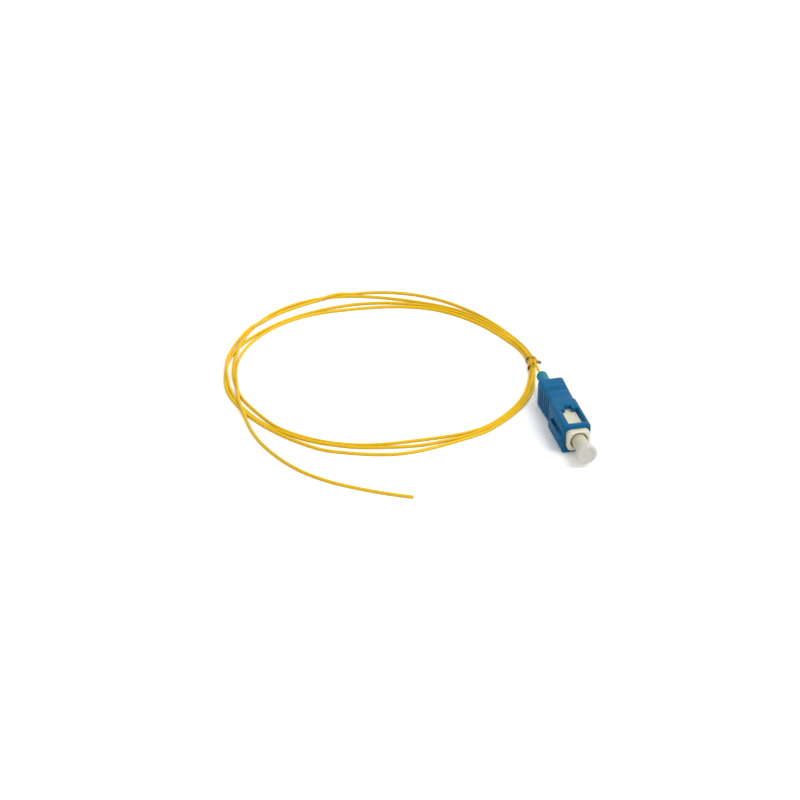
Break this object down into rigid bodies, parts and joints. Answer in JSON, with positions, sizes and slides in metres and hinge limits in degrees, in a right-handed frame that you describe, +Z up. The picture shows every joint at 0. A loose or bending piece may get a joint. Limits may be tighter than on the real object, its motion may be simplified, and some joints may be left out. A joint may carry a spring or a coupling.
{
  "type": "fibre optic pigtail",
  "caption": "Push-pull fibre optic connector with a dust cap and boot, on a tied coil of yellow buffered fibre with a bare cut end.",
  "frame": {"origin": "on the floor, midway along the connector from the dust cap's front to the boot's end, and midway across its key side and its far side", "axes": "+Z up, +Y along the connector from its mouth to its boot, +X across it, away from the key"},
  "size_m": [0.0974, 0.1159, 0.009],
  "materials": {
    "grip_blue": "satin moulded",
    "frame_cream": "satin moulded",
    "ferrule_ceramic": "polished ceramic",
    "nickel": "turned, nickel plated",
    "boot_teal": "matt soft plastic",
    "cap_milky": "milky, slightly see-through",
    "fibre_yellow": "smooth extruded",
    "tie_brown": "glossy film over wire"
  },
  "bodies": {
    "plug": {"plug_frame": "frame_cream", "ferrule_spring": "nickel", "stop_body": "nickel", "boot": "boot_teal", "fibre_lead": "fibre_yellow", "fibre_coil": "fibre_yellow", "fibre_tail": "fibre_yellow", "twist_tie": "tie_brown"},
    "grip": {"grip_housing": "grip_blue"},
    "ferrule": {"ferrule": "ferrule_ceramic", "ferrule_holder": "nickel"},
    "cap": {"dust_cap": "cap_milky"}
  },
  "joints": [
    {"name": "grip_slide", "type": "slide", "parent": "plug", "child": "grip", "axis": [0, -1, 0], "range_m": [0, 0.0014]},
    {"name": "ferrule_float", "type": "slide", "parent": "plug", "child": "ferrule", "axis": [0, 1, 0], "range_m": [0, 0.0008], "stiffness_N_per_m": 500},
    {"name": "cap_pull", "type": "slide", "parent": "ferrule", "child": "cap", "axis": [0, -1, 0], "range_m": [0, 0.009]}
  ]
}
